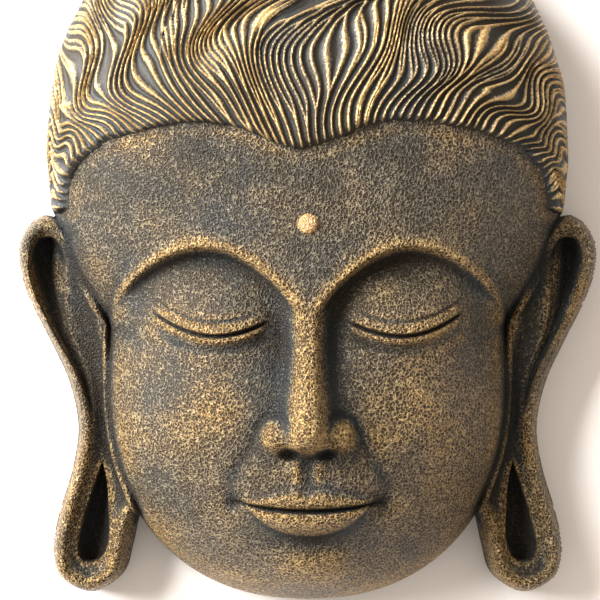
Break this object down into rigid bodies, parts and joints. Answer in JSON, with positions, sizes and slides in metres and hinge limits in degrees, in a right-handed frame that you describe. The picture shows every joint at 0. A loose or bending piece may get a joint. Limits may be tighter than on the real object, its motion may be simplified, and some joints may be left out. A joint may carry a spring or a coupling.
{
  "type": "buddha mask",
  "caption": "Hollow relief wall mask of a calm Buddha face with long slit earlobes, waved hair and a low bun, flat at the back.",
  "frame": {"origin": "middle of the base rectangle of the bounding box, on the plane of the back rim", "axes": "+Z out of the face, +Y from the chin towards the crown, +X to the right of a viewer who faces the mask"},
  "size_m": [0.3412, 0.462, 0.1248],
  "materials": {
    "gilded_charcoal": "charcoal paint with a dry-brushed antique gold on a fine leather grain"
  },
  "bodies": {
    "root": {"mask": "gilded_charcoal"}
  },
  "joints": []
}
